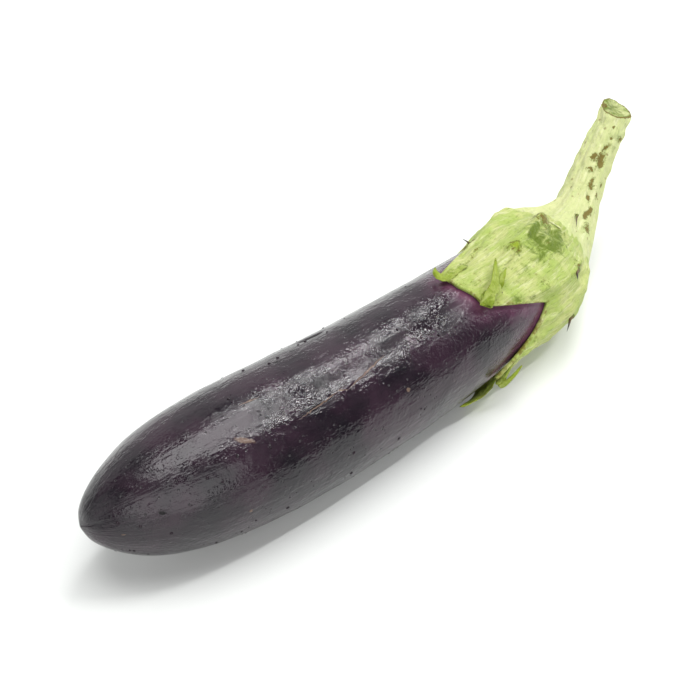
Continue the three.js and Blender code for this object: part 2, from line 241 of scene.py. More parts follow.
class Plant:
    """The eggplant's shape rules for the sizes that the panel holds."""

    def __init__(self, sizes):
        self.radius = sizes.fruit_radius / MM
        self.shoulder = sizes.shoulder_radius / MM
        self.flesh = sizes.cap_flesh / MM
        self.stem = sizes.stem_radius / MM
        self.stations = np.arange(0, STEM_END + 12, SPINE_STEP)
        middles = (self.stations[1:] + self.stations[:-1]) / 2
        steps = self.tangent(middles) * SPINE_STEP
        start = (0, 0, CENTRE_HEIGHT - LIE_SLOPE * CONTACT_AT)
        self.line = np.vstack([np.zeros(3), np.cumsum(steps, 0)]) + start

    def heading_and_pitch(self, s):
        neck = smooth((s - NECK_START) / (NECK_END - NECK_START))
        return (s - BEND_MIDDLE) / BEND_RADIUS + NECK_TURN * neck, LIE_SLOPE + (NECK_PITCH - LIE_SLOPE) * neck

    def tangent(self, s):
        heading, pitch = self.heading_and_pitch(s)
        flat = np.cos(pitch)
        return np.stack([np.cos(heading) * flat, np.sin(heading) * flat, np.sin(pitch)], -1)

    def centre(self, s):
        return np.stack([np.interp(s, self.stations, self.line[:, k]) for k in range(3)], -1)

    def out(self, s, angle):
        """The direction straight out from the spine at an angle round it."""
        heading, _ = self.heading_and_pitch(s)
        side = np.stack([-np.sin(heading), np.cos(heading), 0 * heading], -1)
        up = np.cross(self.tangent(s), side)
        return np.cos(angle)[..., None] * side + np.sin(angle)[..., None] * up

    def around(self, s, angle, distance):
        s, angle, distance = np.broadcast_arrays(*(np.asarray(v, float) for v in (s, angle, distance)))
        return self.centre(s) + distance[..., None] * self.out(s, angle)

    def fruit_radius(self, s):
        nose = (1 - (1 - np.clip(s / NOSE_LENGTH, 0, 1)) ** NOSE_POWER) ** NOSE_BLUNTNESS
        along = np.clip((s - NOSE_LENGTH) / (SHOULDER_AT - NOSE_LENGTH), 0, 1.6)
        over = np.clip((s - SHOULDER_AT) / (FRUIT_LENGTH - SHOULDER_AT), 0, 1)
        body = self.radius - (self.radius - self.shoulder) * along**TAPER_POWER
        return body * nose * np.sqrt(1 - over**SHOULDER_POWER)

    def skin(self, s, angle, height):
        """The point at a height off the fruit's skin, measured square to the skin."""
        s = np.asarray(s, float)
        slope = (self.fruit_radius(s + 0.01) - self.fruit_radius(s - 0.01)) / 0.02
        steep = np.hypot(slope, 1)
        return self.around(s - slope / steep * height, angle, self.fruit_radius(s) + height / steep)

    # -- cap --
    def lobe_at(self, degrees):
        """The lobe's row, how far aside of its tip (0) towards a notch (1), and where along the notch is."""
        first = LOBES[-1, 2] - 360
        angle = first + np.mod(degrees - first, 360)
        row = np.minimum(np.searchsorted(LOBES[:, 2], angle), len(LOBES) - 1)
        lobe = LOBES[row]
        before = np.where(row == 0, first, LOBES[row - 1, 2])
        after = angle >= lobe[..., 0]
        aside = np.where(after, (angle - lobe[..., 0]) / (lobe[..., 2] - lobe[..., 0]),
                         (lobe[..., 0] - angle) / (lobe[..., 0] - before))
        return lobe, np.clip(aside, 0, 1), np.where(after, lobe[..., 3], LOBES[row - 1, 3])

    def edge_at(self, degrees):
        lobe, aside, notch = self.lobe_at(degrees)
        return notch + (lobe[..., 1] - notch) * (1 - aside) ** lobe[..., 6]

    def reach_at(self, s, degrees):
        return (FRUIT_LENGTH - s) / (FRUIT_LENGTH - self.edge_at(degrees))

    def leaning(self, s, degrees):
        lean = np.minimum((1 - self.reach_at(s, degrees)) / 0.68, 1)
        return np.radians(degrees - lean * LEAN * np.sin(np.radians(degrees - LEAN_AWAY_FROM)))

    def cap_heights(self, s, degrees):
        lobe, aside, _ = self.lobe_at(degrees)
        reach = self.reach_at(s, degrees)
        inner = CAP_GAP + lobe[..., 5] * (1 - aside) * smooth((reach - 0.8) / 0.2)
        crest = 0.45 * bell(aside, 0.55) + 0.55 * np.maximum(1 - aside / 0.85, 0)
        rib = lobe[..., 4] * crest * bell(s - RIB_AT, RIB_SPREAD)
        pressed = 1 - CAP_PRESSED * np.maximum(-np.sin(np.radians(degrees)), 0) ** 2
        body = self.flesh * pressed * smooth((s - FLESH_START) / FLESH_RAMP)
        return inner, inner + CAP_EDGE + (body + rib) * smooth((1 - reach) * 5)

    # -- stem --
    def stem_radius(self, s, angle):
        flare = STEM_FLARE * np.maximum(1 - (s - STEM_START) / STEM_FLARE_LENGTH, 0) ** 2
        ribs = 0.35 * np.cos(5 * angle + 0.03 * s)
        knuckle = 0.4 * bell(s - STEM_END + 8, 5)
        return self.stem + flare + ribs - knuckle

    def shift(self):
        """How far the row frame lies from the spine's frame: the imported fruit's corner, less this fruit's."""
        steps = np.arange(1, CAD_RINGS) / CAD_RINGS
        s = FRUIT_LENGTH * (1 - np.cos(np.pi * steps)) / 2
        angle = 2 * np.pi * np.arange(CAD_SIDES) / CAD_SIDES
        rings = self.skin(s[:, None], angle[None, :], 0.0).reshape(-1, 3)
        corner = np.vstack([rings, self.centre(np.array([0.0]))]).min(0)
        low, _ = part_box("fruit")
        return np.array([low.x / MM - corner[0], low.y / MM - corner[1], 0.0])


# ---- meshes ----
def closed_grid(start, rings, end):
    """A closed skin over rings of points: the points, its faces, and each face corner's ring and column."""
    rows, columns = rings.shape[:2]
    points = np.vstack([np.reshape(start, (1, 3)), rings.reshape(-1, 3), np.reshape(end, (1, 3))])
    last = len(points) - 1
    faces, corners = [], []
    for j in range(columns):
        k = (j + 1) % columns
        faces.append((0, 1 + j, 1 + k))
        corners.append(((0, j), (0, j), (0, j + 1)))
        faces.append((last, 1 + (rows - 1) * columns + k, 1 + (rows - 1) * columns + j))
        corners.append(((rows - 1, j), (rows - 1, j + 1), (rows - 1, j)))
    for i in range(rows - 1):
        base = 1 + i * columns
        for j in range(columns):
            k = (j + 1) % columns
            faces.append((base + j, base + columns + j, base + columns + k, base + k))
            corners.append(((i, j), (i + 1, j), (i + 1, j + 1), (i, j + 1)))
    return points, faces, corners


def signed_volume(points, faces):
    """Six times the enclosed volume, negative when the faces point inwards."""
    total = 0.0
    for size in (3, 4):
        group = np.array([f for f in faces if len(f) == size])
        for k in range(2, size if len(group) else 0):
            a, b, c = points[group[:, 0]], points[group[:, k - 1]], points[group[:, k]]
            total += np.einsum("ij,ij->", a, np.cross(b, c))
    return total


def make_piece(name, points, faces, material, uv=None, fields=None):
    """A mesh object in the row frame from points in the spine's frame, with its UV map and painted fields.
    What would go below the floor is pressed flat on it."""
    sizes = bpy.context.scene.eggplant_sizes
    outwards = signed_volume(points, faces) >= 0
    if not outwards:
        faces = [tuple(reversed(face)) for face in faces]
    placed = (points + Plant(sizes).shift()) * MM
    placed[:, 2] = np.maximum(placed[:, 2], 0)
    mesh = bpy.data.meshes.new(name)
    mesh.from_pydata(placed.tolist(), [], faces)
    mesh.polygons.foreach_set("use_smooth", np.ones(len(faces), bool))
    if uv is not None:
        if not outwards:
            uv = [tuple(reversed(face)) for face in uv]
        flat = np.array([pair for face in uv for pair in face], np.float32)
        mesh.uv_layers.new(name="skin_mm").data.foreach_set("uv", flat.ravel())
    for field, values in (fields or {}).items():
        layer = mesh.attributes.new(field, "FLOAT", "POINT")
        layer.data.foreach_set("value", np.asarray(values, np.float32))
    mesh.materials.append(material)
    mesh.validate()
    piece = bpy.data.objects.new(name, mesh)
    bpy.context.scene.collection.objects.link(piece)
    return piece


def polar(values):
    """A field on rings, stretched over the two poles as well."""
    return np.concatenate([[values[0].mean()], values.ravel(), [values[-1].mean()]])


def finish_piece(piece, node=None):
    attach(piece, "root")
    if node:
        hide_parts(node)


def spot(s, turn, at, degrees, long, wide, tilt=0.0, arc=SKIN_ARC):
    """A soft oval spot on the surface, 1 at its middle: along the spine in mm and degrees round it."""
    across = np.radians(np.mod(np.degrees(turn) - degrees + 180, 360) - 180) * arc
    along = s - at
    c, k = math.cos(math.radians(tilt)), math.sin(math.radians(tilt))
    return bell(along * c + across * k, long) * bell(across * c - along * k, wide)


def trail(s, turn, path, wide):
    """A soft line along a path of (along, degrees): 1 on the path, fading sideways."""
    best = np.full(np.shape(s), 1e9)
    across = np.radians(np.mod(np.degrees(turn), 360)) * SKIN_ARC
    for (s0, d0), (s1, d1) in zip(path, path[1:]):
        y0, y1 = math.radians(d0) * SKIN_ARC, math.radians(d1) * SKIN_ARC
        length = (s1 - s0) ** 2 + (y1 - y0) ** 2
        part = np.clip(((s - s0) * (s1 - s0) + (across - y0) * (y1 - y0)) / length, 0, 1)
        best = np.minimum(best, np.hypot(s - s0 - part * (s1 - s0), across - y0 - part * (y1 - y0)))
    return bell(best, wide)


def painted(s, turn, spots, lines=(), arc=SKIN_ARC):
    """A field painted from spots (strength, then the spot) and lines (strength, half width, path)."""
    total = sum(strength * spot(s, turn, *row, arc=arc) for strength, *row in spots)
    return total + sum(strength * trail(s, turn, path, wide) for strength, wide, path in lines)


def chart_of(corners, along, turn, arc=SKIN_ARC):
    """The map of a grid that goes round: for each face corner, mm along the spine and mm round it."""
    along = np.column_stack([along, along[:, 0]])
    around = np.column_stack([turn, turn[:, 0] + 2 * np.pi]) * arc
    return [[(along[corner], around[corner]) for corner in face] for face in corners]


# ---- materials ----
def linear(code):
    """An sRGB hex colour as a linear RGBA colour."""
    channels = [int(code[k:k + 2], 16) / 255 for k in (1, 3, 5)]
    return tuple(c / 12.92 if c <= 0.04045 else ((c + 0.055) / 1.055) ** 2.4 for c in channels) + (1.0,)


def add(tree, kind, inputs=(), out=0, stops=(), **settings):
    """Adds a node with its settings. The inputs, in order or by name, take values or other nodes' sockets.
    Gives back one output, or all of them for None."""
    node = tree.nodes.new(kind)
    for name, value in settings.items():
        setattr(node, name, value)
    for k, (place, colour) in enumerate(stops):
        ramp = node.color_ramp.elements
        stop = ramp[k] if k < 2 else ramp.new(place)
        stop.position, stop.color = place, colour
    for key, value in inputs.items() if isinstance(inputs, dict) else enumerate(inputs):
        if isinstance(value, bpy.types.NodeSocket):
            tree.links.new(value, node.inputs[key])
        else:
            node.inputs[key].default_value = value
    return node.outputs if out is None else node.outputs[out]


def new_material(name):
    """A material with an empty tree, and the tree."""
    material = bpy.data.materials.new(name)
    material.use_nodes = True
    tree = material.node_tree
    tree.nodes.clear()
    return material, tree


def object_mm(tree):
    """The place on the object, in millimetres."""
    place = add(tree, "ShaderNodeTexCoord", out="Object")
    return add(tree, "ShaderNodeVectorMath", (place, (1000, 1000, 1000)), operation="MULTIPLY")


def marks(tree, place, rows, soft):
    """A mask of small ovals on the map, full inside the share "soft" of each oval."""
    total = 0.0
    for at, degrees, long, wide, turn in rows:
        moved = add(tree, "ShaderNodeMapping", {
            "Vector": place, "Location": (at, math.radians(degrees) * SKIN_ARC, 0),
            "Rotation": (0, 0, math.radians(turn)), "Scale": (long, wide, 1)}, vector_type="TEXTURE")
        far = add(tree, "ShaderNodeVectorMath", (moved,), out="Value", operation="LENGTH")
        mask = add(tree, "ShaderNodeMapRange", (far, 1.0, soft), interpolation_type="SMOOTHSTEP")
        total = add(tree, "ShaderNodeMath", (total, mask), operation="MAXIMUM")
    return total


def skin_material(colours):
    """Eggplant skin, waxy and wetted: near-black purple whose gloss carries broad soft lights; fine wrinkles
    and a broken water film fray the lights' edges into glints."""
    material, tree = new_material("eggplant_skin_waxed_wet")
    in_mm = object_mm(tree)
    chart = add(tree, "ShaderNodeUVMap", uv_map="skin_mm")
    near_cap = add(tree, "ShaderNodeAttribute", out="Fac", attribute_name="near_cap")
    drawn = add(tree, "ShaderNodeMapping", {"Vector": chart, "Scale": (0.12, 1, 1)})
    smeared = add(tree, "ShaderNodeMapping", {"Vector": chart, "Scale": (0.45, 1, 1)})
    grain = {}
    for name, place, size_mm, detail, rough in (
            ("clouds", in_mm, 22, 4, 0.55), ("blotch", in_mm, 7, 4, 0.6), ("streaks", drawn, 3, 4, 0.6),
            ("film", smeared, 7, 5, 0.62), ("pitted", in_mm, 6, 2, 0.55), ("dull", in_mm, 2.2, 3, 0.55),
            ("wrinkles", in_mm, 2.6, 3, 0.6), ("lumps", in_mm, 8, 2, 0.55), ("furrows", drawn, 2.4, 3, 0.6),
            ("drops", in_mm, 1.3, 2, 0.55)):
        grain[name] = add(tree, "ShaderNodeTexNoise", {
            "Vector": place, "Scale": 1 / size_mm, "Detail": detail, "Roughness": rough})

    uneven = add(tree, "ShaderNodeMath", (grain["blotch"], 0.9, 0.55), operation="MULTIPLY_ADD")
    uneven = add(tree, "ShaderNodeMath", (near_cap, uneven), operation="MULTIPLY", use_clamp=True)
    pits = add(tree, "ShaderNodeTexVoronoi", {"Vector": in_mm, "Scale": 0.4, "Randomness": 1.0})
    share = {}
    for name, source, low, high, most in (
            ("plum", grain["clouds"], 0.35, 0.68, 1), ("streaks", grain["streaks"], 0.5, 0.75, 0.35),
            ("violet", uneven, 0.2, 1.1, 1), ("wet", grain["film"], 0.44, 0.56, 1),
            ("holes", pits, 0.22, 0.1, 1), ("pitted", grain["pitted"], 0.48, 0.56, 1)):
        share[name] = add(tree, "ShaderNodeMapRange", (source, low, high, 0, most),
                          interpolation_type="SMOOTHSTEP")

    frayed = add(tree, "ShaderNodeTexNoise", {"Vector": chart, "Scale": 0.9, "Detail": 3.0}, out="Color")
    frayed = add(tree, "ShaderNodeVectorMath", (frayed, (0.5, 0.5, 0.5)), operation="SUBTRACT")
    frayed = add(tree, "ShaderNodeVectorMath", (frayed, (1.3, 1.3, 0), chart), operation="MULTIPLY_ADD")
    scratch = marks(tree, frayed, SCRATCHES, 0.4)
    cork = marks(tree, frayed, CORKS, 0.55)
    nick = marks(tree, frayed, NICKS, 0.5)
    pit = add(tree, "ShaderNodeMath", (share["holes"], share["pitted"]), operation="MULTIPLY")
    blemish = add(tree, "ShaderNodeMath", (cork, scratch), operation="MAXIMUM")
    blemish = add(tree, "ShaderNodeMath", (blemish, pit), operation="MAXIMUM")
    damp = add(tree, "ShaderNodeMath", (grain["drops"], share["wet"]), operation="MULTIPLY")

    colour = colours.skin_dark
    # the nicks and pits are darkened: painted shade in their grooves and holes; the other layers are the skin's
    # own colour
    for mask, most, over in (
            (share["plum"], 1, colours.skin_plum), (share["streaks"], 1, colours.skin_plum),
            (share["violet"], 1, colours.skin_violet), (scratch, 0.75, colours.cork),
            (cork, 0.5, colours.cork), (nick, 1, linear("#0d090c")), (pit, 0.8, linear("#0b080b"))):
        mask = add(tree, "ShaderNodeMath", (mask, most), operation="MULTIPLY")
        colour = add(tree, "ShaderNodeMix", {0: mask, 6: colour, 7: over}, out=2, data_type="RGBA")
    rough = 0.22
    for mask, more in ((share["wet"], -0.16), (grain["dull"], 0.04), (blemish, 0.3), (nick, 0.7)):
        rough = add(tree, "ShaderNodeMath", (mask, more, rough), operation="MULTIPLY_ADD")
    height = 0.0
    for relief, mm in (
            (grain["wrinkles"], 0.14), (grain["lumps"], 0.22), (grain["furrows"], 0.2), (damp, 0.17),
            (pit, -0.12), (nick, -0.6), (scratch, -0.12), (cork, 0.1)):
        height = add(tree, "ShaderNodeMath", (relief, mm, height), operation="MULTIPLY_ADD")
    bump = add(tree, "ShaderNodeBump", {"Height": height, "Strength": 1.0, "Distance": MM})
    shader = add(tree, "ShaderNodeBsdfPrincipled", {
        "Base Color": colour, "Roughness": rough, "Normal": bump, "IOR": 1.47, "Coat Weight": 0.12,
        "Coat Roughness": 0.06, "Coat IOR": 1.4, "Coat Normal": bump})
    add(tree, "ShaderNodeOutputMaterial", (shader,), out=None)
    return material


def tissue_material(name, colours, streak_mm, specks, paler):
    """Cap and stem tissue, fleshy and dusty with fine hairs: pale matt green with lengthwise veins, greener
    hollows that are partly painted shade (as is the stem's darker cut face), brown-edged margins, a brown line
    of painted shadow in one crease, and corky flecks."""
    material, tree = new_material(name)
    in_mm = object_mm(tree)
    chart = add(tree, "ShaderNodeUVMap", uv_map="skin_mm")
    field = {key: add(tree, "ShaderNodeAttribute", out="Fac", attribute_name=key)
             for key in ("green", "fresh", "brown", "margin")}
    drawn = add(tree, "ShaderNodeMapping", {"Vector": chart, "Scale": (0.11, 1, 1)})
    combed = add(tree, "ShaderNodeMapping", {"Vector": chart, "Scale": (0.16, 1, 1)})
    grain = {}
    for key, place, size_mm, detail, rough, bend in (
            ("clouds", in_mm, 11, 4, 0.6, 0), ("veins", drawn, streak_mm, 4, 0.65, 0.4),
            ("fibres", combed, 0.55, 3, 0.7, 0), ("dust", in_mm, 0.8, 3, 0.7, 0),
            ("mottle", in_mm, 5, 5, 0.7, 0.8), ("ragged", in_mm, 1.4, 4, 0.7, 0),
            ("frayed", in_mm, 3.2, 3, 0.55, 0), ("crumbs", in_mm, 1.3, 3, 0.55, 0),
            ("lumps", in_mm, 4.5, 3, 0.55, 0)):
        grain[key] = add(tree, "ShaderNodeTexNoise", {
            "Vector": place, "Scale": 1 / size_mm, "Detail": detail, "Roughness": rough, "Distortion": bend})

    mottled = add(tree, "ShaderNodeMath", (field["green"], 0.55, grain["mottle"]), operation="MULTIPLY_ADD")
    ragged = add(tree, "ShaderNodeMath", (grain["ragged"], 2.4, field["brown"]), operation="MULTIPLY_ADD")
    flecked = add(tree, "ShaderNodeTexVoronoi", {"Vector": in_mm, "Scale": 0.22, "Randomness": 1.0})
    flecked = add(tree, "ShaderNodeMath", (grain["crumbs"], 0.35, flecked), operation="MULTIPLY_ADD")
    share = {}
    for key, source, low, high, most in (
            ("cloudy", grain["clouds"], 0.36, 0.64, 1), ("dark_veins", grain["veins"], 0.52, 0.64, 0.7),
            ("pale_veins", grain["veins"], 0.47, 0.36, 0.5), ("fibres", grain["fibres"], 0.52, 0.68, 0.5),
            ("mottled", mottled, 0.64, 0.92, 0.95), ("halo", ragged, 1.45, 1.8, 0.55),
            ("brown", ragged, 1.72, 1.95, 0.85), ("frayed", grain["frayed"], 0.45, 0.62, 0.75),
            ("fleck", flecked, 0.33, 0.27, specks)):
        share[key] = add(tree, "ShaderNodeMapRange", (source, low, high, 0, most),
                         interpolation_type="SMOOTHSTEP")
    margin = add(tree, "ShaderNodeMath", (field["margin"], share["frayed"]), operation="MULTIPLY")

    colour = colours.cap_pale
    for mask, over in (
            (share["cloudy"], colours.cap_green), (share["dark_veins"], colours.cap_green),
            (share["pale_veins"], colours.cap_white), (share["fibres"], colours.cap_olive),
            (paler, colours.cap_white), (share["mottled"], colours.cap_olive),
            (field["fresh"], colours.tip_fresh), (share["halo"], colours.cap_olive),
            (share["brown"], colours.cap_brown), (margin, colours.cap_brown),
            (share["fleck"], colours.cap_brown)):
        colour = add(tree, "ShaderNodeMix", {0: mask, 6: colour, 7: over}, out=2, data_type="RGBA")
    height = 0.0
    for relief, mm in ((grain["veins"], 1.0), (grain["fibres"], 0.32), (grain["dust"], 0.16),
                       (grain["lumps"], 1.5), (share["fleck"], -0.08)):
        height = add(tree, "ShaderNodeMath", (relief, mm, height), operation="MULTIPLY_ADD")
    bump = add(tree, "ShaderNodeBump", {"Height": height, "Strength": 1.0, "Distance": MM})
    rough = add(tree, "ShaderNodeMath", (grain["clouds"], 0.2, 0.5), operation="MULTIPLY_ADD")
    shader = add(tree, "ShaderNodeBsdfPrincipled", {
        "Base Color": colour, "Roughness": rough, "Normal": bump, "IOR": 1.45, "Subsurface Weight": 0.12,
        "Subsurface Radius": (1.0, 1.2, 0.4), "Subsurface Scale": 0.0015, "Sheen Weight": 0.03,
        "Sheen Roughness": 0.5, "Specular IOR Level": 0.3})
    add(tree, "ShaderNodeOutputMaterial", (shader,), out=None)
    return material


def horn_material(colours):
    """Dried prickle horn, hard and slightly polished: dark brown, paler and greener where it grows out."""
    material, tree = new_material("prickle_horn_dried")
    chart = add(tree, "ShaderNodeUVMap", uv_map="skin_mm")
    part = add(tree, "ShaderNodeSeparateXYZ", (chart,))
    drawn = add(tree, "ShaderNodeMapping", {"Vector": chart, "Scale": (0.2, 1, 1)})
    fibres = add(tree, "ShaderNodeTexNoise", {"Vector": drawn, "Scale": 2.0, "Detail": 3.0, "Roughness": 0.6})
    part = add(tree, "ShaderNodeMath", (fibres, 0.2, part), operation="MULTIPLY_ADD")
    colour = add(tree, "ShaderNodeValToRGB", (part,), stops=(
        (0.1, colours.cap_olive), (1.0, linear("#17100f")), (0.3, colours.horn), (0.75, linear("#2c1c18"))))
    height = add(tree, "ShaderNodeMath", (fibres, 0.12), operation="MULTIPLY")
    bump = add(tree, "ShaderNodeBump", {"Height": height, "Distance": MM})
    shader = add(tree, "ShaderNodeBsdfPrincipled", {"Base Color": colour, "Roughness": 0.55, "Normal": bump})
    add(tree, "ShaderNodeOutputMaterial", (shader,), out=None)
    return material


def water_material():
    """Water in beads on near-black skin: as dark as the skin below, with a hard small highlight."""
    material, tree = new_material("water_beads_clear")
    in_mm = object_mm(tree)
    uneven = add(tree, "ShaderNodeTexNoise", {"Vector": in_mm, "Scale": 0.9})
    colour = add(tree, "ShaderNodeMix", {0: uneven, 6: linear("#181016"), 7: linear("#241821")}, out=2,
                 data_type="RGBA")
    rough = add(tree, "ShaderNodeMath", (uneven, 0.03, 0.01), operation="MULTIPLY_ADD")
    shader = add(tree, "ShaderNodeBsdfPrincipled", {"Base Color": colour, "Roughness": rough, "IOR": 1.33})
    add(tree, "ShaderNodeOutputMaterial", (shader,), out=None)
    return material


def floor_material(colours):
    """Seamless white paper, matt: gives a clean pale ground and a soft mirror for the skin's lower side."""
    material, tree = new_material("backdrop_paper_matt")
    in_mm = object_mm(tree)
    fibre = add(tree, "ShaderNodeTexNoise", {"Vector": in_mm, "Scale": 0.04, "Detail": 2.0})
    fibre = add(tree, "ShaderNodeMath", (fibre, 0.03), operation="MULTIPLY")
    colour = add(tree, "ShaderNodeMix", {0: fibre, 6: colours.floor, 7: linear("#d8dad9")}, out=2,
                 data_type="RGBA")
    shader = add(tree, "ShaderNodeBsdfPrincipled", {
        "Base Color": colour, "Roughness": 0.9, "Specular IOR Level": 0.1})
    add(tree, "ShaderNodeOutputMaterial", (shader,), out=None)
    return material


# ---- properties ----
def length(name, description, default, low, high):
    return FloatProperty(name=name, description=description, default=default, min=low, max=high,
                         unit="LENGTH")


def tint(name, description, code):
    return FloatVectorProperty(name=name, description=description, subtype="COLOR", size=4,
                               default=linear(code), min=0, max=1)


class EggplantSizes(bpy.types.PropertyGroup):
    """Sizes that a user may change."""

    fruit_radius: length("Fruit radius", "Radius at the fruit's thickest place", 0.0283, 0.02, 0.04)
    shoulder_radius: length("Shoulder radius", "Radius where the fruit goes under the cap",
                            0.0236, 0.015, 0.035)
    unevenness: length("Unevenness", "How far the skin wanders from a true round", 0.00022, 0, 0.001)
    cap_flesh: length("Cap flesh", "Thickness of the cap over the shoulder", 0.0024, 0.001, 0.006)
    tip_thickness: length("Tip thickness", "Thickness of the cap's dried tips", 0.0011, 0.0005, 0.003)
    stem_radius: length("Stem radius", "Radius of the stem's straight part", 0.0069, 0.004, 0.012)
    prickle_length: length("Prickle length", "Length of a middling prickle", 0.0065, 0.002, 0.012)
    prickle_radius: length("Prickle radius", "Radius at a middling prickle's root", 0.00075, 0.0003, 0.002)
    bead_radius: length("Water bead radius", "Radius of the largest water bead", 0.0008, 0.0001, 0.003)
    bead_density: FloatProperty(name="Water beads per square metre",
                                description="How thickly water beads lie", default=11000.0, min=0, max=60000)
    bead_seed: IntProperty(name="Water bead seed", description="Which scatter of beads is drawn", default=7)


class EggplantColours(bpy.types.PropertyGroup):
    """Colours that a user may change."""

    skin_dark: tint("Skin, dark", "The skin's deepest colour", "#140f16")
    skin_plum: tint("Skin, plum", "The skin where it is a little paler", "#2c1d28")
    skin_violet: tint("Skin, violet", "The young skin next to the cap", "#6a3f58")
    cork: tint("Cork", "Healed scratches on the skin", "#7d6450")
    cap_pale: tint("Cap, pale", "The cap's main colour", "#b4ba76")
    cap_white: tint("Cap, whitish", "Pale veins of cap and stem", "#cfd0a4")
    cap_green: tint("Cap, green", "Greener parts of cap and stem", "#9bad57")
    cap_olive: tint("Cap, olive", "The greenest patches", "#566b06")
    tip_fresh: tint("Tips", "The cap's bright tips", "#83951a")
    cap_brown: tint("Cap, brown", "Dried rims, flecks and the cut", "#66520e")
    horn: tint("Prickles", "Prickle horn", "#5f4a22")
    floor: tint("Floor", "The paper it lies on", "#e4e6e4")


# ---- pieces ----
class EGGPLANT_OT_fruit(bpy.types.Operator):
    """Makes the fruit's skin"""

    bl_idname = "eggplant.fruit"
    bl_label = "Fruit"

    rings = 300
    columns = 256
    shoulder_arc = 24.0
    painted_from = 150

    def execute(self, context):
        sizes = context.scene.eggplant_sizes
        plant = Plant(sizes)
        part = np.arange(1, self.rings) / self.rings
        eased = 0.35 * (1 - np.cos(np.pi * part)) / 2 + 0.65 * part**1.25 * (1.6 - 0.6 * part)
        s = np.minimum(FRUIT_LENGTH * eased, FRUIT_LENGTH - 0.02)[:, None]
        degrees = 270 + 360 * np.arange(self.columns)[None, :] / self.columns
        turn = np.radians(degrees)
        wander = ripples(turn, s, *WAVES["skin_broad"]) + 0.35 * ripples(turn, s, *WAVES["skin_fine"])
        wander = wander * sizes.unevenness / MM * smooth(s / 25) * smooth((236 - s) / 30)
        dent = 0.4 * spot(s, turn, 3.5, 140, 3.0, 2.4, 30) + 0.8 * spot(s, turn, *NICKS[0][:2], 5.5, 1.1, 6)
        points = plant.skin(s, turn, wander - 0.9 * bell(s, 2.2) - dent)
        height = points[..., 2]
        start = plant.around(0.9, 0.0, 0.0)
        points, faces, corners = closed_grid(start, points, plant.centre(np.array(FRUIT_LENGTH)))

        # the skin is violet next to the cap's edge and under the cap
        near = np.zeros((self.rings - 1, self.columns))
        rim = np.radians(np.arange(0, 360, 0.75))
        edge = plant.edge_at(np.degrees(rim))
        rows = s[:, 0] > self.painted_from
        across = (turn[:, :, None] - rim + np.pi) % (2 * np.pi) - np.pi
        gap = np.hypot(s[rows][:, :, None] - edge, across * self.shoulder_arc).min(-1)
        hidden = s[rows] > plant.edge_at(degrees)
        near[rows] = np.where(hidden, 0.95, 0.6 * np.exp(-gap / 6.0) + 0.3 * np.exp(-gap / 20.0))
        wet = smooth((170 - s) / 20) * smooth((height - 3) / 6)
        uv = chart_of(corners, s + 0 * near, turn - 2 * np.pi + 0 * near)
        piece = make_piece("skin", points, faces, skin_material(context.scene.eggplant_colours), uv,
                           {"near_cap": polar(near), "wet": polar(wet)})
        finish_piece(piece, "fruit")
        return {"FINISHED"}


def facet(s, turn):
    """The hollow facet of the cap between its front rib and the fold beside it, 1 in its middle."""
    ridge = np.interp(s, (177, 186, 198, 212, 228, 240), (126, 120, 104, 97, 91, 86))
    past = np.mod(np.degrees(turn) - ridge + 180, 360) - 180
    return smooth(past / 5) * smooth((44 - past) / 30) * smooth((s - 186) / 10) * smooth((242 - s) / 8)


